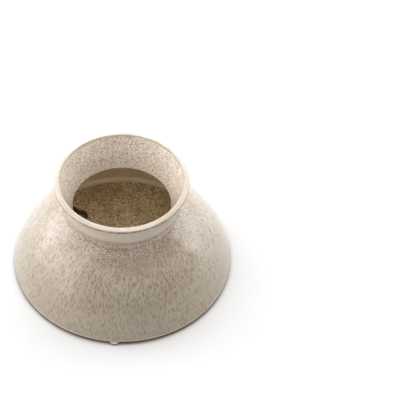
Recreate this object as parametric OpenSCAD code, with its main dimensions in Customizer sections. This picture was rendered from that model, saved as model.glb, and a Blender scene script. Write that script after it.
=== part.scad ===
// Stoneware vessel with a wide bowed skirt, a narrow throat and a flared collar.
// It stands, or hangs on a wall, on its flat floor: a keyhole goes right through and clear bumpers sit below.
// Lengths are in millimetres. +Z runs up through the mouth and +Y points to the keyhole's narrow end.

/* [Skirt] */
// Outside radius where the skirt meets the rounded foot
foot_r = 75.7; // [60:0.1:90]
// Lean of the skirt at the foot, in degrees from upright
foot_lean = 15.4; // [5:0.1:30]
// Radius of the skirt's gentle outward bow
skirt_bow = 112; // [95:1:200]
// Radius of the rounding under the foot
foot_round = 1; // [0.5:0.1:3]
// Thickness of the fired wall
wall = 4.6; // [3:0.1:6]

/* [Collar] */
// Radius of the lip's outer edge
lip_r = 46; // [40:0.1:55]
// Height of the lip's outer edge above the table
lip_z = 81.7; // [70:0.1:100]
// Lean of the collar at the lip, in degrees from upright
lip_lean = 24; // [15:1:35]
// Radius of the collar's inward bow
collar_bow = 95; // [60:1:200]
// Slope of the lip's top face, falling outwards, in degrees
lip_slope = 16; // [0:1:30]
// Rounding of the lip's outer edge
lip_outer_round = 1.5; // [0.4:0.1:2.2]
// Rounding of the lip's inner edge
lip_inner_round = 1.5; // [0.4:0.1:2]
// Hollow where the collar rises out of the skirt
waist_hollow = 5; // [3:0.5:10]
// Rounding of the throat inside
throat_round = 2; // [1:0.5:4]
// Drop of the inside bow's centre below the outside one's, which thickens the wall down to the throat
mouth_drop = 5; // [0:0.5:10]

/* [Floor] */
// Thickness of the floor disc
floor_t = 4.6; // [3:0.1:7]
// Radius of the floor disc
floor_r = 68.6; // [55:0.1:75]
// Height of the luted seam up the wall
seam_rise = 3.2; // [1.5:0.1:5]
// Width of the luted seam across the floor
seam_run = 2.6; // [1.5:0.1:5]
// How far the luted seam bulges out of the corner
seam_bulge = 0.9; // [0:0.1:2]
// Height of the flat strip of wall that the seam leans on
seam_back = 5; // [4:0.5:8]

/* [Keyhole] */
// Radius of the round entry that passes the screw head
entry_r = 6; // [4:0.5:8]
// Half the width of the narrow slot that holds the screw
slot_r = 3.2; // [2:0.1:4]
// Distance from the middle of the floor to the entry
entry_reach = 46; // [20:1:55]
// Distance from the entry to the centre of the slot's round end
slot_reach = 8; // [6:0.5:12]

/* [Bumpers] */
// Radius of a bumper where it sticks on
pad_r = 4; // [3:0.1:6]
// Height of a bumper, which is the gap under the floor
pad_h = 2.2; // [1.5:0.1:4]
// Radius of the flat that it stands on
pad_flat_r = 2; // [0.5:0.1:2.5]
// Distance of the bumpers from the axis
pad_reach = 73; // [50:0.1:75]
// Turn of the first bumper past the keyhole, in degrees
pad_turn = 14; // [0:1:60]
// Turn from one bumper to the next, in degrees
pad_step = 120; // [90:5:135]

/* [Hidden] */
$fn = 96;

foot_z = pad_h;
floor_z = foot_z + floor_t;

// Straight pieces in the arcs of the section: the skirt's, the collar's and the small roundings
skirt_steps = 22;
collar_steps = 9;
round_steps = 6;

// How far a cutter reaches past the face it cuts
over = 1;

// Centres of the two long bows of the section
skirt_c = [foot_r - skirt_bow * cos(foot_lean), foot_z + foot_round - skirt_bow * sin(foot_lean)];
collar_c = [lip_r + collar_bow * cos(lip_lean), lip_z - collar_bow * sin(lip_lean)];
skirt_in = skirt_bow - wall;

// The mouth's inside bow: one wall thick at the lip and thicker at the throat
mouth_c = collar_c - [0, mouth_drop];
mouth_bow = norm(collar_c + (collar_bow + wall) * [-cos(lip_lean), sin(lip_lean)] - mouth_c);

// Direction, in degrees, from one point of the section to another
function aim(from, to) = atan2(to[1] - from[1], to[0] - from[0]);

// Points of an arc. The first is left out where it carries on from the arc before it.
function arc(c, r, from, to, steps, first = 1) =
  [for (i = [first:steps]) let (a = from + (to - from) * i / steps) c + r * [cos(a), sin(a)]];

// The point at distance ra from a and rb from b, on the left of the way from a to b
function meet(a, ra, b, rb) =
  let (d = norm(b - a), u = (b - a) / d, x = (d * d + ra * ra - rb * rb) / (2 * d))
  a + x * u + sqrt(ra * ra - x * x) * [-u[1], u[0]];

// The far point at distance r from c on the line through p in direction u
function reach(p, u, c, r) =
  let (x = (c - p) * u, h = norm(c - p - x * u)) p + (x + sqrt(r * r - h * h)) * u;

// Rounding centres
top_u = [-cos(lip_slope), sin(lip_slope)];
top_n = [sin(lip_slope), cos(lip_slope)];
lip_edge = [lip_r - lip_outer_round, lip_z];
lip_out_c = reach(lip_edge, top_u, collar_c, collar_bow + lip_outer_round);
lip_in_c = reach(lip_edge + (lip_outer_round - lip_inner_round) * top_n, top_u,
                 mouth_c, mouth_bow - lip_inner_round);
waist_c = meet(skirt_c, skirt_bow + waist_hollow, collar_c, collar_bow - waist_hollow);
throat_c = meet(skirt_c, skirt_in + throat_round, mouth_c, mouth_bow - throat_round);
foot_c = reach([0, foot_z + foot_round], [1, 0], skirt_c, skirt_bow - foot_round);

// Where the inside of the wall stops bowing, just above the seam
seam_top = reach([0, floor_z + seam_back], [1, 0], skirt_c, skirt_in);
seam_foot = [floor_r, floor_z];
seam_lean = (seam_top - seam_foot) / norm(seam_top - seam_foot);

function outside() = concat(
  [[floor_r, foot_z]],
  arc(foot_c, foot_round, -90, aim(skirt_c, foot_c), round_steps, first = 0),
  arc(skirt_c, skirt_bow, aim(skirt_c, foot_c), aim(skirt_c, waist_c), skirt_steps),
  arc(waist_c, waist_hollow, aim(waist_c, skirt_c) + 360, aim(collar_c, waist_c), round_steps),
  arc(collar_c, collar_bow, aim(collar_c, waist_c), aim(collar_c, lip_out_c), collar_steps),
  arc(lip_out_c, lip_outer_round, aim(lip_out_c, collar_c), 90 - lip_slope, round_steps)
);

function inside() = concat(
  arc(lip_in_c, lip_inner_round, 90 - lip_slope, aim(mouth_c, lip_in_c), round_steps, first = 0),
  arc(mouth_c, mouth_bow, aim(mouth_c, lip_in_c), aim(mouth_c, throat_c), collar_steps),
  arc(throat_c, throat_round, aim(mouth_c, throat_c), aim(throat_c, skirt_c) + 360, round_steps),
  arc(skirt_c, skirt_in, aim(skirt_c, throat_c), aim(skirt_c, seam_top), skirt_steps),
  [seam_foot]
);

// Skirt and collar, thrown as one hollow wall
module shell() {
  color([0.80, 0.76, 0.69])
    rotate_extrude() polygon(concat(outside(), inside()));
}

// Flat floor set inside the foot, with the keyhole through it
module floor_disc() {
  color([0.72, 0.67, 0.58])
    translate([0, 0, foot_z]) difference() {
      cylinder(r = floor_r, h = floor_t);
      translate([0, entry_reach, -over]) cylinder(r = entry_r, h = floor_t + 2 * over);
      translate([-slot_r, entry_reach, -over]) cube([2 * slot_r, slot_reach, floor_t + 2 * over]);
      translate([0, entry_reach + slot_reach, -over]) cylinder(r = slot_r, h = floor_t + 2 * over);
    }
}

// Luted seam between the floor and the wall
module floor_seam() {
  a = seam_foot - [seam_run, 0];
  b = seam_foot + seam_rise * seam_lean;
  out = [a[1] - b[1], b[0] - a[0]] / norm(b - a);
  color([0.84, 0.80, 0.73])
    rotate_extrude() polygon(concat([seam_foot, b],
      [for (t = [0.75, 0.5, 0.25]) a + t * (b - a) + seam_bulge * sin(180 * t) * out], [a]));
}

// Clear stick-on bumper: a low dome with a small flat
module bumper(turn) {
  dome = (pad_r * pad_r - pad_flat_r * pad_flat_r + pad_h * pad_h) / (2 * pad_h);
  ball = sqrt(pad_r * pad_r + (dome - pad_h) * (dome - pad_h));
  color([0.90, 0.93, 0.94])
    rotate([0, 0, 90 + turn]) translate([pad_reach, 0, 0]) intersection() {
      cylinder(r = pad_r + over, h = pad_h);
      translate([0, 0, dome]) sphere(r = ball);
    }
}
module pad_1() { bumper(pad_turn); }
module pad_2() { bumper(pad_turn + pad_step); }
module pad_3() { bumper(pad_turn + 2 * pad_step); }

shell();
floor_disc();
floor_seam();
pad_1();
pad_2();
pad_3();
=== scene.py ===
"""Speckled stoneware vessel on a white studio table. Lengths are in metres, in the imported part's frame."""

import math

import bpy
import numpy as np
from mathutils import Matrix, Vector, noise


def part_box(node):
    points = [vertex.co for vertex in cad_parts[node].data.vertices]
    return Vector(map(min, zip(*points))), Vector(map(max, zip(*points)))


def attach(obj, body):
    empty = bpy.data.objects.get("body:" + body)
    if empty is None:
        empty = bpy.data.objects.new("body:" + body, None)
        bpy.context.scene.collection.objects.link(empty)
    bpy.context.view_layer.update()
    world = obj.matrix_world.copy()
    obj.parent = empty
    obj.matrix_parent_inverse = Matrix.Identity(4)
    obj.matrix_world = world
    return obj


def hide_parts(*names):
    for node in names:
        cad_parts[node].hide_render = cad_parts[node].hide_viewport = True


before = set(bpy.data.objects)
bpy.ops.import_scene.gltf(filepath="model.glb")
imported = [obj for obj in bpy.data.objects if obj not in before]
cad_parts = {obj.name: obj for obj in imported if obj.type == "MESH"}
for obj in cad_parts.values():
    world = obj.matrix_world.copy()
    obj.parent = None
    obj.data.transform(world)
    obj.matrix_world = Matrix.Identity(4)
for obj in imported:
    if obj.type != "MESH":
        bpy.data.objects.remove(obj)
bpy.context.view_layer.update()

MM = 0.001


# ---------------------------------------------------------------- driving sizes

# Heights and the floor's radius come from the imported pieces
floor_lo, floor_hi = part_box("floor_disc")
FOOT_Z = floor_lo.z
FLOOR_Z = floor_hi.z
FLOOR_R = (floor_hi.x - floor_lo.x) / 2
TOP_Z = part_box("shell")[1].z
SEAM_TOP_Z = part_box("floor_seam")[1].z

# The wall's section, with the same meanings as in the CAD source
WALL = 4.6 * MM
FOOT_R = 75.7 * MM
FOOT_ROUND = 1 * MM
FOOT_LEAN = math.radians(15.4)
SKIRT_BOW = 112 * MM
COLLAR_BOW = 95 * MM
LIP_R = 46 * MM
LIP_Z = 81.7 * MM
LIP_LEAN = math.radians(24)
LIP_SLOPE = math.radians(16)
LIP_OUTER_ROUND = 1.5 * MM
LIP_INNER_ROUND = 1.5 * MM
WAIST_HOLLOW = 5 * MM
THROAT_ROUND = 2 * MM
MOUTH_DROP = 5 * MM
SEAM_BACK = 5 * MM

# The luted seam, the bumpers' flats and the keyhole
SEAM_RUN = 2.6 * MM
SEAM_BULGE = 0.9 * MM
PAD_FLAT_R = 2 * MM
ENTRY_R = 6 * MM
SLOT_R = 3.2 * MM
ENTRY_REACH = 46 * MM
SLOT_REACH = 8 * MM

# Points around the wall and the seam, and around the floor and the bumpers
AROUND = 288
FLOOR_AROUND = 192
PAD_AROUND = 64
# Radius of the cylinder that the drawn-out streaks are laid out on
WHEEL_R = 60 * MM


# ---------------------------------------------------------------- section of the wall

# Greatest distance between neighbouring points: on the lip and throat, on other roundings, on bows, inside
EDGE_STEP = 0.16 * MM
ROUND_STEP = 0.32 * MM
BOW_STEP = 0.8 * MM
INSIDE_STEP = 1.2 * MM


def aim(a, b):
    """Direction from a to b, in radians."""
    return math.atan2(b[1] - a[1], b[0] - a[0])


def arc(c, r, start, end, step, trim=(0.0, 0.0)):
    """Points of an arc. trim is how far, in radians, each end stops short of the arc that it meets."""
    way = 1 if end > start else -1
    start, end = start + way * trim[0], end - way * trim[1]
    n = max(3, math.ceil(abs(end - start) * r / step))
    t = np.linspace(start, end, n + 1)
    return np.stack([c[0] + r * np.cos(t), c[1] + r * np.sin(t)], axis=1)


def meet(a, ra, b, rb):
    """The point at distance ra from a and rb from b, to the left of the way from a to b."""
    d = np.linalg.norm(b - a)
    u = (b - a) / d
    x = (d * d + ra * ra - rb * rb) / (2 * d)
    return a + x * u + math.sqrt(ra * ra - x * x) * np.array([-u[1], u[0]])


def reach(p, u, c, r):
    """The far point at distance r from c on the line through p in direction u."""
    x = np.dot(c - p, u)
    h = np.linalg.norm(c - p - x * u)
    return p + (x + math.sqrt(r * r - h * h)) * u


def wall_section():
    """Closed outline of the wall, from the foot over the lip and down inside, and its stretches' names."""
    foot_way = np.array([math.cos(FOOT_LEAN), math.sin(FOOT_LEAN)])
    lip_way = np.array([-math.cos(LIP_LEAN), math.sin(LIP_LEAN)])
    skirt_c = np.array([FOOT_R, FOOT_Z + FOOT_ROUND]) - SKIRT_BOW * foot_way
    collar_c = np.array([LIP_R, LIP_Z]) - COLLAR_BOW * lip_way
    mouth_c = collar_c - np.array([0, MOUTH_DROP])
    mouth_bow = np.linalg.norm(collar_c + (COLLAR_BOW + WALL) * lip_way - mouth_c)
    skirt_in = SKIRT_BOW - WALL
    top_u = np.array([-math.cos(LIP_SLOPE), math.sin(LIP_SLOPE)])
    top_n = np.array([math.sin(LIP_SLOPE), math.cos(LIP_SLOPE)])
    edge = np.array([LIP_R - LIP_OUTER_ROUND, LIP_Z])
    lip_out = reach(edge, top_u, collar_c, COLLAR_BOW + LIP_OUTER_ROUND)
    inner_edge = edge + (LIP_OUTER_ROUND - LIP_INNER_ROUND) * top_n
    lip_in = reach(inner_edge, top_u, mouth_c, mouth_bow - LIP_INNER_ROUND)
    waist = meet(skirt_c, SKIRT_BOW + WAIST_HOLLOW, collar_c, COLLAR_BOW - WAIST_HOLLOW)
    throat = meet(skirt_c, skirt_in + THROAT_ROUND, mouth_c, mouth_bow - THROAT_ROUND)
    level = np.array([1.0, 0.0])
    foot = reach(np.array([0, FOOT_Z + FOOT_ROUND]), level, skirt_c, SKIRT_BOW - FOOT_ROUND)
    seam_top = reach(np.array([0, FLOOR_Z + SEAM_BACK]), level, skirt_c, skirt_in)
    up = math.pi / 2 - LIP_SLOPE
    turn = 2 * math.pi
    under = [[FLOOR_R, FOOT_Z], [FLOOR_R + 2 * MM, FOOT_Z], [foot[0] - 0.6 * MM, FOOT_Z]]
    to_foot, to_waist = aim(skirt_c, foot), aim(skirt_c, waist)
    from_waist, to_lip = aim(collar_c, waist), aim(collar_c, lip_out)
    from_lip, to_throat = aim(mouth_c, lip_in), aim(mouth_c, throat)
    from_throat, to_seam = aim(skirt_c, throat), aim(skirt_c, seam_top)
    parts = [
        ("under", np.array(under)),
        ("foot", arc(foot, FOOT_ROUND, -math.pi / 2, to_foot, ROUND_STEP)),
        ("skirt", arc(skirt_c, SKIRT_BOW, to_foot, to_waist, BOW_STEP, trim=(0.008, 0.006))),
        ("waist", arc(waist, WAIST_HOLLOW, aim(waist, skirt_c) + turn, from_waist, ROUND_STEP)),
        ("collar", arc(collar_c, COLLAR_BOW, from_waist, to_lip, BOW_STEP, trim=(0.008, 0.004))),
        ("lip_out", arc(lip_out, LIP_OUTER_ROUND, aim(lip_out, collar_c), up, EDGE_STEP)),
        ("lip_in", arc(lip_in, LIP_INNER_ROUND, up, from_lip, EDGE_STEP)),
        ("mouth", arc(mouth_c, mouth_bow, from_lip, to_throat, BOW_STEP, trim=(0.004, 0.008))),
        ("throat", arc(throat, THROAT_ROUND, to_throat, aim(throat, skirt_c) + turn, EDGE_STEP)),
        ("inside", arc(skirt_c, skirt_in, from_throat, to_seam, INSIDE_STEP, trim=(0.008, 0.0))),
        ("inside", np.array([[FLOOR_R, FLOOR_Z]])),
    ]
    names = [name for name, pts in parts for _ in pts]
    return np.concatenate([pts for _, pts in parts]), names


# ---------------------------------------------------------------- mesh helpers

def new_object(name, verts, faces, material):
    """A smooth-shaded mesh object at the origin."""
    mesh = bpy.data.meshes.new(name)
    mesh.from_pydata([tuple(v) for v in verts], [], faces)
    mesh.validate()
    mesh.update()
    obj = bpy.data.objects.new(name, mesh)
    bpy.context.scene.collection.objects.link(obj)
    obj.data.materials.append(material)
    for poly in mesh.polygons:
        poly.use_smooth = True
    return obj


def spun(profile, around, centre=(0.0, 0.0)):
    """The rings of points that a profile of (radius, height) leaves when it turns about a centre."""
    x, y = centre[0], centre[1]
    turns = [2 * math.pi * k / around for k in range(around)]
    return [(x + r * math.cos(a), y + r * math.sin(a), z) for r, z in profile for a in turns]


def cap_faces(rows, around):
    """Fans that close the first and last ring with two points that come after all the rings."""
    top = (rows - 1) * around
    low_point, high_point = rows * around, rows * around + 1
    faces = []
    for k in range(around):
        m = (k + 1) % around
        faces.append((low_point, m, k))
        faces.append((high_point, top + k, top + m))
    return faces


def point_values(obj, name, kind, values):
    """Stores a value, or a vector, at each point of a mesh for its material to read."""
    layer = obj.data.attributes.new(name, kind, "POINT")
    key = "vector" if kind == "FLOAT_VECTOR" else "value"
    layer.data.foreach_set(key, np.asarray(values, dtype=np.float32).ravel())


def ring_faces(rows, around, closed):
    """Quads between neighbouring rings of points, wound so that an anticlockwise section faces out."""
    faces = []
    for i in range(rows if closed else rows - 1):
        j = (i + 1) % rows
        for k in range(around):
            m = (k + 1) % around
            faces.append((i * around + k, i * around + m, j * around + m, j * around + k))
    return faces


# ---------------------------------------------------------------- pieces

# How far the lip is out of round: an oval, longest towards OVAL_WAY, with three soft lobes on it
OVAL = 0.36 * MM
OVAL_WAY = math.radians(-44)
LOBES = 0.07 * MM


def thrown_wobble(phi, z):
    """How far a hand-thrown wall strays from the true circle: nothing at the floor, most at the lip."""
    lift = z / TOP_Z
    return lift * (OVAL * math.cos(2 * (phi - OVAL_WAY)) + LOBES * math.sin(3 * phi - 1.1 + 2 * lift))


# Shallow rings left by the potter's fingers: their height, and each wave's share, pitch and phase
RINGED = ("skirt", "mouth", "inside", "collar")
RING_HEIGHT = 0.045 * MM
RING_WAVES = ((1.0, 2.1 * MM, 0.0), (0.6, 3.7 * MM, 1.3))
# How far the surface is set in, so that the rings stay inside the CAD solid
SKIN = 0.12 * MM


def throwing_ring(along, c, s, z):
    """Height of the rings at a distance along the section. They come and go around the wall."""
    waves = sum(share * math.sin(along / pitch + phase) for share, pitch, phase in RING_WAVES)
    return RING_HEIGHT * waves * (0.6 + 0.4 * noise.noise((2 * c, 2 * s, z * 60)))


def blend(x, a, b):
    """0 below a, 1 above b and a smooth step between."""
    t = min(1.0, max(0.0, (x - a) / (b - a)))
    return t * t * (3 - 2 * t)


# What the glaze varies in along the section: depth of the pale glaze, iron flecks, streaks drawn down the
# wall, and the browner glaze of the inside
GLAZE_PARTS = ("depth", "fleck", "run_off", "cave")
STEADY_GLAZE = {
    "under": (0.4, 0.0, 0.0, 0.0),
    "foot": (0.4, 0.0, 0.0, 0.0),
    "waist": (0.32, 1.0, 0.2, 0.0),
    "lip_out": (0.44, 0.35, 0.0, 0.0),
    "lip_in": (0.44, 0.35, 0.0, 0.0),
    "inside": (0.9, 0.4, 0.0, 1.0),
}


def glaze_look(name, across, z):
    """The glaze's parts at one place on the section. across runs from 0 to 1 over the named stretch."""
    up = z / MM
    if name in STEADY_GLAZE:
        return STEADY_GLAZE[name]
    if name == "mouth":
        return 1.0 - 0.1 * blend(up, 70, 80), 0.8, 0.0, 0.0
    if name == "throat":
        return 0.9, 0.6, 0.0, across
    if name == "collar":
        clean = blend(up, 62, 69)
        return 0.32 + 0.22 * clean, 1 - 0.6 * clean, 0.2 - 0.1 * clean, 0.0
    neck, rise = blend(up, 42, 58), blend(up, 12, 44)
    return 0.03 + 0.27 * rise, 0.38 + 0.12 * rise + 0.5 * neck, 0.6 + 0.05 * rise - 0.4 * neck, 0.0


# Where the glaze broke on a rounded edge: place across the arc, half width, strength
ARRIS = {"lip_out": (0.3, 0.55, 1.0), "lip_in": (0.7, 0.3, 0.6)}
# Edge value that leaves no glaze at all, even where an edge would be well covered
ALL_BARE = 3.0


def worn_edge(name, across):
    """How bare the clay is at one place on the section, before the material breaks it up."""
    if name == "under":
        return ALL_BARE
    if name not in ARRIS:
        return 0.0
    peak, spread, amount = ARRIS[name]
    return amount * (1 - blend(abs(across - peak), 0.3 * spread, spread))


def build_shell(material):
    """The wall, turned from its section, with rings, a stray from the circle and the glaze's values."""
    section, names = wall_section()
    rows = len(section)
    along = np.concatenate([[0], np.cumsum(np.linalg.norm(np.diff(section, axis=0), axis=1))])
    tangent = np.gradient(section, axis=0)
    normal = np.stack([tangent[:, 1], -tangent[:, 0]], axis=1)
    normal /= np.linalg.norm(normal, axis=1)[:, None]
    verts, wheel, edge, look = [], [], [], []
    for i, (r, z) in enumerate(section):
        run = [k for k in range(rows) if names[k] == names[i]]
        across = (i - run[0]) / max(1, len(run) - 1)
        joined = i < 2 or i == rows - 1
        for k in range(AROUND):
            phi = 2 * math.pi * k / AROUND
            c, s = math.cos(phi), math.sin(phi)
            push = 0.0 if joined else -SKIN
            if names[i] in RINGED and not joined:
                push += throwing_ring(along[i], c, s, z)
            out = r + push * normal[i][0] + (0.0 if joined else thrown_wobble(phi, z - FLOOR_Z))
            verts.append((out * c, out * s, z + push * normal[i][1]))
            wheel.append((WHEEL_R * c, WHEEL_R * s, along[i]))
        edge += [worn_edge(names[i], across)] * AROUND
        look += [glaze_look(names[i], across, z)] * AROUND
    obj = new_object("shell_glazed", verts, ring_faces(rows, AROUND, True), material)
    point_values(obj, "wheel", "FLOAT_VECTOR", wheel)
    point_values(obj, "edge", "FLOAT", edge)
    for k, name in enumerate(GLAZE_PARTS):
        point_values(obj, name, "FLOAT", [value[k] for value in look])
    return obj


KEYHOLE_STEPS = 28
CUTTER_OVER = 2 * MM
KEYHOLE_ROUND = 0.7 * MM


def keyhole_outline():
    """The keyhole seen from above, anticlockwise, as (x, y) points."""
    bite = math.asin(SLOT_R / ENTRY_R)
    entry = np.linspace(math.pi / 2 + bite, 2.5 * math.pi - bite, 2 * KEYHOLE_STEPS)
    slot = np.linspace(0, math.pi, KEYHOLE_STEPS)
    low = [(ENTRY_R * math.cos(a), ENTRY_REACH + ENTRY_R * math.sin(a)) for a in entry]
    high = [(SLOT_R * math.cos(a), ENTRY_REACH + SLOT_REACH + SLOT_R * math.sin(a)) for a in slot]
    return low + high


def keyhole_cutter(material):
    """A prism through the floor, as long as the keyhole and a little more."""
    outline = keyhole_outline()
    n = len(outline)
    verts = [(x, y, z) for z in (FOOT_Z - CUTTER_OVER, FLOOR_Z + CUTTER_OVER) for x, y in outline]
    caps = [tuple(range(n))[::-1], tuple(range(n, 2 * n))]
    sides = [(i, (i + 1) % n, n + (i + 1) % n, n + i) for i in range(n)]
    return new_object("keyhole_cutter", verts, caps + sides, material)


# Spacing of the floor's rings of points, in millimetres, and the depth and pitch of its throwing rings
FLOOR_RING_GAP = 1.5
FLOOR_DIP = 0.02 * MM
FLOOR_PITCH = 1.9 * MM


def build_floor(material):
    """A flat disc with soft throwing rings, cut by the keyhole, with rounded keyhole edges."""
    radii = np.arange(FLOOR_RING_GAP, FLOOR_R / MM - 0.5, FLOOR_RING_GAP) * MM
    section = [(r, FOOT_Z) for r in radii] + [(FLOOR_R, FOOT_Z), (FLOOR_R, FLOOR_Z)]
    section += [(r, FLOOR_Z - FLOOR_DIP * (1 + math.sin(r / FLOOR_PITCH))) for r in radii[::-1]]
    verts = spun(section, FLOOR_AROUND) + [(0, 0, FOOT_Z), (0, 0, FLOOR_Z)]
    faces = ring_faces(len(section), FLOOR_AROUND, False) + cap_faces(len(section), FLOOR_AROUND)
    disc = new_object("floor_glazed", verts, faces, material)
    cutter = keyhole_cutter(material)
    cut = disc.modifiers.new("keyhole", "BOOLEAN")
    cut.object = cutter
    cut.solver = "EXACT"
    soften = disc.modifiers.new("soften", "BEVEL")
    soften.width = KEYHOLE_ROUND
    soften.segments = 4
    soften.limit_method = "ANGLE"
    soften.angle_limit = math.radians(50)
    bake(disc)
    bpy.data.objects.remove(cutter)
    smooth_by_angle(disc, 40)
    return disc


def bake(obj):
    """Applies the modifiers."""
    bpy.context.view_layer.update()
    mesh = bpy.data.meshes.new_from_object(obj.evaluated_get(bpy.context.evaluated_depsgraph_get()))
    obj.modifiers.clear()
    obj.data = mesh


def smooth_by_angle(obj, degrees):
    """Shades smooth across edges that turn by less than the angle."""
    mesh = obj.data
    for poly in mesh.polygons:
        poly.use_smooth = True
    mesh.set_sharp_from_angle(angle=math.radians(degrees))


SEAM_STEPS = 10


def build_seam(material):
    """The ridge of clay pressed into the corner between floor and wall."""
    foot, top = np.array([FLOOR_R, FLOOR_Z]), wall_section()[0][-2]
    lean = (top - foot) / np.linalg.norm(top - foot)
    a = foot - np.array([SEAM_RUN, 0])
    b = foot + lean * (SEAM_TOP_Z - FLOOR_Z) / lean[1]
    out = np.array([a[1] - b[1], b[0] - a[0]]) / np.linalg.norm(b - a)
    verts = []
    for t in [i / SEAM_STEPS for i in range(SEAM_STEPS + 1)]:
        for k in range(AROUND):
            phi = 2 * math.pi * k / AROUND
            c, s = math.cos(phi), math.sin(phi)
            # Pressed in a little unevenly around the wall
            press = 0.82 + 0.18 * noise.noise((9 * c, 9 * s, 2 * t))
            p = a + t * (b - a) + SEAM_BULGE * press * math.sin(math.pi * t) * out
            verts.append((p[0] * c, p[0] * s, p[1]))
    verts += spun([foot], AROUND)
    obj = new_object("seam_glazed", verts, ring_faces(SEAM_STEPS + 2, AROUND, True), material)
    smooth_by_angle(obj, 50)
    return obj


# Rounding of a bumper's upper rim, and how far the rim is set in from the CAD solid's
BRIM = 0.25 * MM
RIM_INSET = 0.04 * MM


def bumper_profile(radius, height):
    """Half outline of a dome that stands on its small flat, as (radius, height) points from the middle."""
    dome = (radius**2 - PAD_FLAT_R**2 + height**2) / (2 * height)
    ball = math.hypot(radius, dome - height)
    profile = [(PAD_FLAT_R * t, 0.0) for t in (0.35, 0.7, 1.0)]
    for z in np.linspace(0, height - BRIM, 14)[1:]:
        profile.append((min(radius - RIM_INSET, math.sqrt(max(0, ball**2 - (dome - z) ** 2))), z))
    last = profile[-1][0]
    for a in np.linspace(0.3, math.pi / 2, 6):
        profile.append((last - BRIM * (1 - math.cos(a)), height - BRIM + BRIM * math.sin(a)))
    return profile + [((last - BRIM) * t, height) for t in (0.66, 0.33)]


def build_bumper(node, material):
    """A clear dome stuck under the foot, with a soft edge and a small flat where it stands."""
    lo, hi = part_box(node)
    centre = (lo + hi) / 2
    profile = [(r, lo.z + z) for r, z in bumper_profile((hi.x - lo.x) / 2, hi.z - lo.z)]
    verts = spun(profile, PAD_AROUND, centre) + [(centre.x, centre.y, lo.z), (centre.x, centre.y, hi.z)]
    faces = ring_faces(len(profile), PAD_AROUND, False) + cap_faces(len(profile), PAD_AROUND)
    obj = new_object(node + "_clear", verts, faces, material)
    smooth_by_angle(obj, 50)
    return obj


# ---------------------------------------------------------------- materials

class Nodes:
    """A material's node tree with short calls for the nodes used here."""

    def __init__(self, name):
        self.material = bpy.data.materials.new(name)
        self.material.use_nodes = True
        self.tree = self.material.node_tree
        self.tree.nodes.clear()

    def add(self, kind, **settings):
        node = self.tree.nodes.new(kind)
        for key, value in settings.items():
            setattr(node, key, value)
        return node

    def put(self, socket, value):
        """Links a socket, or sets the input's own value."""
        if isinstance(value, bpy.types.NodeSocket):
            self.tree.links.new(value, socket)
        else:
            socket.default_value = value

    def object_pos(self):
        return self.add("ShaderNodeTexCoord").outputs["Object"]

    def attribute(self, name, output="Fac"):
        return self.add("ShaderNodeAttribute", attribute_name=name).outputs[output]

    def scaled(self, vector, factors):
        node = self.add("ShaderNodeVectorMath", operation="MULTIPLY")
        self.put(node.inputs[0], vector)
        node.inputs[1].default_value = factors
        return node.outputs[0]

    def noise(self, vector, scale, detail=2.0, rough=0.5, distortion=0.0):
        node = self.add("ShaderNodeTexNoise")
        self.put(node.inputs["Vector"], vector)
        node.inputs["Scale"].default_value = scale
        node.inputs["Detail"].default_value = detail
        node.inputs["Roughness"].default_value = rough
        node.inputs["Distortion"].default_value = distortion
        return node.outputs["Fac"]

    def cells(self, vector, scale):
        """Distance to the nearest of many scattered points."""
        node = self.add("ShaderNodeTexVoronoi")
        self.put(node.inputs["Vector"], vector)
        node.inputs["Scale"].default_value = scale
        return node.outputs["Distance"]

    def ramp(self, value, low, high, to_low=0.0, to_high=1.0):
        """A smooth step from to_low, where value is at most low, to to_high, where it is at least high."""
        node = self.add("ShaderNodeMapRange", interpolation_type="SMOOTHSTEP", clamp=True)
        self.put(node.inputs["Value"], value)
        node.inputs["From Min"].default_value = low
        node.inputs["From Max"].default_value = high
        node.inputs["To Min"].default_value = to_low
        node.inputs["To Max"].default_value = to_high
        return node.outputs["Result"]

    def math(self, operation, a, b=0.0):
        node = self.add("ShaderNodeMath", operation=operation)
        self.put(node.inputs[0], a)
        self.put(node.inputs[1], b)
        return node.outputs[0]

    def mix(self, factor, a, b):
        """Colour a where factor is 0 and b where it is 1."""
        node = self.add("ShaderNodeMix", data_type="RGBA")
        self.put(node.inputs["Factor"], factor)
        self.put(node.inputs["A"], a)
        self.put(node.inputs["B"], b)
        return node.outputs["Result"]

    def bump(self, height, strength, distance):
        node = self.add("ShaderNodeBump")
        self.put(node.inputs["Height"], height)
        node.inputs["Strength"].default_value = strength
        node.inputs["Distance"].default_value = distance
        return node.outputs["Normal"]

    def finish(self, shader):
        out = self.add("ShaderNodeOutputMaterial")
        self.tree.links.new(shader.outputs[0], out.inputs["Surface"])
        return self.material


# Glaze, clay and specks outside
PALE = (0.94, 0.85, 0.745, 1)
BUFF = (0.39, 0.325, 0.235, 1)
SPECK = (0.17, 0.10, 0.05, 1)
SPECK_RED = (0.31, 0.18, 0.10, 1)
SPECK_DARK = (0.13, 0.07, 0.018, 1)
CLAY = (0.17, 0.08, 0.038, 1)
CLAY_PALE = (0.26, 0.145, 0.08, 1)
# Browner glaze inside, paler on the luted seam as a painted highlight for the light the ridge catches
OLIVE = (0.93, 0.775, 0.53, 1)
OLIVE_DARK = (0.68, 0.54, 0.335, 1)
OLIVE_PALE = (0.97, 0.84, 0.60, 1)
LUTED_PAINTED_HIGHLIGHT = (0.98, 0.88, 0.68, 1)
OLIVE_SPECK = (0.26, 0.175, 0.08, 1)
# Clear rubber, and the table's paint in the open, with a painted contact shadow close under the foot
RUBBER = (0.93, 0.93, 0.88, 1)
RUBBER_HAZY = (0.84, 0.85, 0.79, 1)
PAINT = (0.81, 0.81, 0.81, 1)
PAINT_PALE = (0.83, 0.83, 0.825, 1)
PAINTED_CONTACT_SHADE = (0.27, 0.205, 0.145, 1)
# How far from the vessel the painted shadow on the table reaches
SHADE_REACH = 8 * MM

GLAZE_IOR = 1.5
GLAZE_COAT_ROUGHNESS = 0.14
# How much rougher bare clay is than satin glaze
BARE_ROUGHER = 0.45


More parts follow.
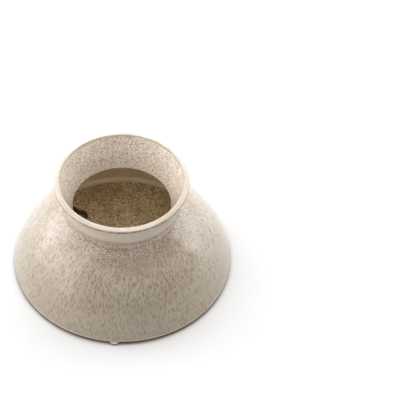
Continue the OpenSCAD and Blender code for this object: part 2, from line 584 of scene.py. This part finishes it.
def glaze_skin(n, pos, colour, grain, bare=None):
    """A satin glaze over the colour, pitted and gently waved. bare is where dull clay shows through."""
    shader = n.add("ShaderNodeBsdfPrincipled")
    n.put(shader.inputs["Base Color"], colour)
    satin = n.ramp(n.noise(pos, 500, 3.0), 0.3, 0.7, 0.32, 0.48)
    shader.inputs["IOR"].default_value = GLAZE_IOR
    if bare is None:
        n.put(shader.inputs["Roughness"], satin)
        shader.inputs["Coat Weight"].default_value = 1.0
    else:
        n.put(shader.inputs["Roughness"], n.math("ADD", satin, n.math("MULTIPLY", bare, BARE_ROUGHER)))
        n.put(shader.inputs["Coat Weight"], n.math("SUBTRACT", 1.0, bare))
    shader.inputs["Coat Roughness"].default_value = GLAZE_COAT_ROUGHNESS
    height = n.math("ADD", n.math("MULTIPLY", grain, 0.6), n.noise(pos, 150, 2.0))
    n.put(shader.inputs["Normal"], n.bump(height, 0.3, 0.0002))
    return n.finish(shader)


def olive_body(n, pos, grain, amount, pale=OLIVE, dark=OLIVE_DARK):
    """The browner glaze inside, where it pooled over dark clay."""
    colour = n.mix(n.ramp(n.noise(pos, 60, 3.0), 0.3, 0.7), pale, dark)
    return n.mix(n.ramp(grain, 0.45, 0.58, 0.0, amount), colour, OLIVE_SPECK)


def bare_clay(n, pos):
    """The fired body where no glaze covers it: mottled brown with darker grit."""
    body = n.mix(n.ramp(n.noise(pos, 110, 4.0), 0.35, 0.65), CLAY, CLAY_PALE)
    return n.mix(n.ramp(n.cells(pos, 900), 0.15, 0.3, 0.7, 0.0), body, SPECK_DARK)


def dark_spots(n, pos, colour, scale, share, amount, size=0.16):
    """Round iron spots on part of the surface. share is the noise level above which they show."""
    keep = n.ramp(n.noise(pos, 260, 1.0), share, share + 0.1)
    spots = n.math("MULTIPLY", n.ramp(n.cells(pos, scale), size, size + 0.18, 1.0, 0.0), keep)
    return n.mix(n.math("MULTIPLY", spots, amount), colour, SPECK_DARK)


def glaze_over_clay(n, pos):
    """Pale glaze over buff clay, thicker and thinner in slow drifts."""
    drift = n.math("MULTIPLY", n.math("SUBTRACT", n.noise(pos, 70, 3.0), 0.5), 0.3)
    pooled = n.math("ADD", n.attribute("depth"), drift)
    return n.mix(n.ramp(pooled, 0.0, 1.0), BUFF, PALE)


def iron_marks(n, pos, colour, grain):
    """Fine red flecks, streaks drawn down the wall, and round dark specks, thickest at the neck."""
    fleck = n.attribute("fleck")
    spread = n.math("MULTIPLY", fleck, 0.07)
    fine = n.ramp(n.math("ADD", grain, spread), 0.55, 0.67)
    colour = n.mix(n.math("MULTIPLY", fine, fleck), colour, SPECK_RED)
    drawn = n.noise(n.scaled(n.attribute("wheel", "Vector"), (1.0, 1.0, 0.2)), 1350, 3.0, 0.5)
    streak = n.ramp(n.math("ADD", drawn, spread), 0.53, 0.66)
    colour = n.mix(n.math("MULTIPLY", streak, n.attribute("run_off")), colour, SPECK)
    colour = dark_spots(n, pos, colour, 850, 0.42, fleck)
    return dark_spots(n, pos, colour, 680, 0.36, n.math("POWER", fleck, 5.0), 0.24)


def speckled_glaze():
    """The wall's glaze, which follows the values that build_shell stores along the section."""
    n = Nodes("speckled_glaze")
    pos = n.object_pos()
    grain = n.noise(pos, 1550, 3.0, 0.5)
    colour = iron_marks(n, pos, glaze_over_clay(n, pos), grain)
    cover = n.ramp(n.noise(pos, 420, 2.0), 0.35, 0.65, 0.45, 0.85)
    bare = n.math("MINIMUM", n.math("MULTIPLY", n.attribute("edge"), cover), 1.0)
    colour = n.mix(bare, colour, bare_clay(n, pos))
    colour = n.mix(n.attribute("cave"), colour, olive_body(n, pos, grain, 0.45, OLIVE_PALE, OLIVE))
    return glaze_skin(n, pos, colour, grain, bare)


def floor_glaze():
    """Coarser speckle on the floor, and bare clay underneath and on the keyhole's walls."""
    n = Nodes("floor_glaze")
    pos = n.object_pos()
    grain = n.noise(pos, 800, 3.0, 0.5, 1.4)
    colour = dark_spots(n, pos, olive_body(n, pos, grain, 0.9), 700, 0.5, 0.5)
    height = n.add("ShaderNodeSeparateXYZ")
    n.put(height.inputs[0], pos)
    fired_bare = n.ramp(height.outputs["Z"], FLOOR_Z - 1.8 * MM, FLOOR_Z - 0.6 * MM, 1.0, 0.0)
    colour = n.mix(fired_bare, colour, bare_clay(n, pos))
    return glaze_skin(n, pos, colour, grain, fired_bare)


def seam_glaze():
    """The luted ridge, painted a little paler than the glaze around it: a painted highlight for the light it
    catches through the mouth.
    """
    n = Nodes("seam_glaze")
    pos = n.object_pos()
    grain = n.noise(pos, 1300, 1.0, 0.5)
    # Painted highlight: the ridge's glaze colour is paler than the floor's
    return glaze_skin(n, pos, olive_body(n, pos, grain, 0.2, LUTED_PAINTED_HIGHLIGHT, OLIVE_PALE), grain)


def clear_rubber():
    """Slightly hazy clear rubber."""
    n = Nodes("clear_bumper")
    pos = n.object_pos()
    haze = n.noise(pos, 700, 2.0)
    shader = n.add("ShaderNodeBsdfPrincipled")
    n.put(shader.inputs["Base Color"], n.mix(haze, RUBBER, RUBBER_HAZY))
    n.put(shader.inputs["Roughness"], n.ramp(haze, 0.3, 0.7, 0.06, 0.18))
    shader.inputs["IOR"].default_value = 1.49
    shader.inputs["Transmission Weight"].default_value = 0.35
    n.put(shader.inputs["Normal"], n.bump(haze, 0.1, 0.0001))
    return n.finish(shader)


def table_paint():
    """White paint, with a painted contact shadow darkening it close under the foot, where little light gets
    in.
    """
    n = Nodes("table_white")
    pos = n.object_pos()
    # Painted shadow: the paint turns a dark brown shade where the vessel closes in around a point of the
    # table
    shade = n.add("ShaderNodeAmbientOcclusion", samples=16)
    shade.inputs["Distance"].default_value = SHADE_REACH
    open_sky = n.ramp(shade.outputs["AO"], 0.25, 0.84)
    paint = n.mix(n.noise(pos, 6, 2.0), PAINT, PAINT_PALE)
    shader = n.add("ShaderNodeBsdfPrincipled")
    n.put(shader.inputs["Base Color"], n.mix(open_sky, PAINTED_CONTACT_SHADE, paint))
    n.put(shader.inputs["Roughness"], n.ramp(n.noise(pos, 40, 2.0), 0.3, 0.7, 0.55, 0.65))
    return n.finish(shader)


# ---------------------------------------------------------------- assembly

def place(piece, node):
    """Rides a piece on the one body, where it stands for its CAD node."""
    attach(piece, "root")
    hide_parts(node)


place(build_shell(speckled_glaze()), "shell")
place(build_floor(floor_glaze()), "floor_disc")
place(build_seam(seam_glaze()), "floor_seam")
clear = clear_rubber()
for pad in ("pad_1", "pad_2", "pad_3"):
    place(build_bumper(pad, clear), pad)


# ---------------------------------------------------------------- table, lights and camera

TABLE_REACH = 6.0
corners = [(x * TABLE_REACH, y * TABLE_REACH, 0) for x, y in ((-1, -1), (1, -1), (1, 1), (-1, 1))]
table = new_object("table", corners, [(0, 1, 2, 3)], table_paint())

# The camera looks along +Y turned by PHOTO_TURN about Z, and down by CAMERA_PITCH
PHOTO_TURN = math.radians(-44)
CAMERA_PITCH = math.radians(49.24)
CAMERA_ROLL = math.radians(1.483)
CAMERA_DISTANCE = 1.72428
AIM_POINT = Vector((0.05333, 0.05637, 0.0))
FOCAL_LENGTH_MM = 216
SENSOR_WIDTH_MM = 36
CLIP_END = 20


def place_camera():
    """Aims the camera at AIM_POINT on the table, which is given in axes turned by PHOTO_TURN."""
    turn = Matrix.Rotation(PHOTO_TURN, 3, "Z")
    right = turn @ Vector((1, 0, 0))
    forward = turn @ Vector((0, math.cos(CAMERA_PITCH), -math.sin(CAMERA_PITCH)))
    up = turn @ Vector((0, math.sin(CAMERA_PITCH), math.cos(CAMERA_PITCH)))
    c, s = math.cos(CAMERA_ROLL), math.sin(CAMERA_ROLL)
    cam_right = c * right + s * up
    cam_up = c * up - s * right
    data = bpy.data.cameras.new("camera")
    data.lens = FOCAL_LENGTH_MM
    data.sensor_width = SENSOR_WIDTH_MM
    data.clip_end = CLIP_END
    cam = bpy.data.objects.new("camera", data)
    bpy.context.scene.collection.objects.link(cam)
    basis = Matrix((cam_right, cam_up, -forward)).transposed().to_4x4()
    cam.matrix_world = Matrix.Translation(turn @ AIM_POINT - forward * CAMERA_DISTANCE) @ basis
    bpy.context.scene.camera = cam


LAMP_DISTANCE = 2.5
LAMP_AIM = Vector((0, 0, 0.04))
WORLD_STRENGTH = 0.17
# Name, azimuth and elevation in degrees, size in metres and power in watts
LAMPS = (
    ("back_left", 135, 24, (4.2, 2.3), 65),
    ("left", 184, 25, (3.6, 2.3), 44),
    ("back_right", 45, 24, (4.2, 2.3), 80),
    ("front_top", 270, 65, (4.2, 2.0), 26),
    ("top", 78, 79, (1.5, 0.8), 14),
)


def soft_light(name, azimuth, elevation, size, power):
    """An area light aimed at the vessel. azimuth runs anticlockwise from the picture's right."""
    a = math.radians(azimuth) + PHOTO_TURN
    e = math.radians(elevation)
    data = bpy.data.lights.new(name, "AREA")
    data.shape = "RECTANGLE"
    data.size, data.size_y = size
    data.energy = power
    lamp = bpy.data.objects.new(name, data)
    bpy.context.scene.collection.objects.link(lamp)
    away = Vector((math.cos(a) * math.cos(e), math.sin(a) * math.cos(e), math.sin(e)))
    lamp.location = away * LAMP_DISTANCE + LAMP_AIM
    lamp.visible_camera = False
    lamp.rotation_mode = "QUATERNION"
    lamp.rotation_quaternion = away.to_track_quat("Z", "Y")


def studio():
    """White lamps and a dim white surround, with colours shown as they are."""
    for lamp in LAMPS:
        soft_light(*lamp)
    world = bpy.data.worlds.new("studio")
    bpy.context.scene.world = world
    world.use_nodes = True
    world.node_tree.nodes["Background"].inputs["Color"].default_value = (1, 1, 1, 1)
    world.node_tree.nodes["Background"].inputs["Strength"].default_value = WORLD_STRENGTH
    view = bpy.context.scene.view_settings
    view.view_transform = "Standard"
    view.look = "None"
    view.exposure = 0
    view.gamma = 1


place_camera()
studio()

bpy.context.view_layer.update()
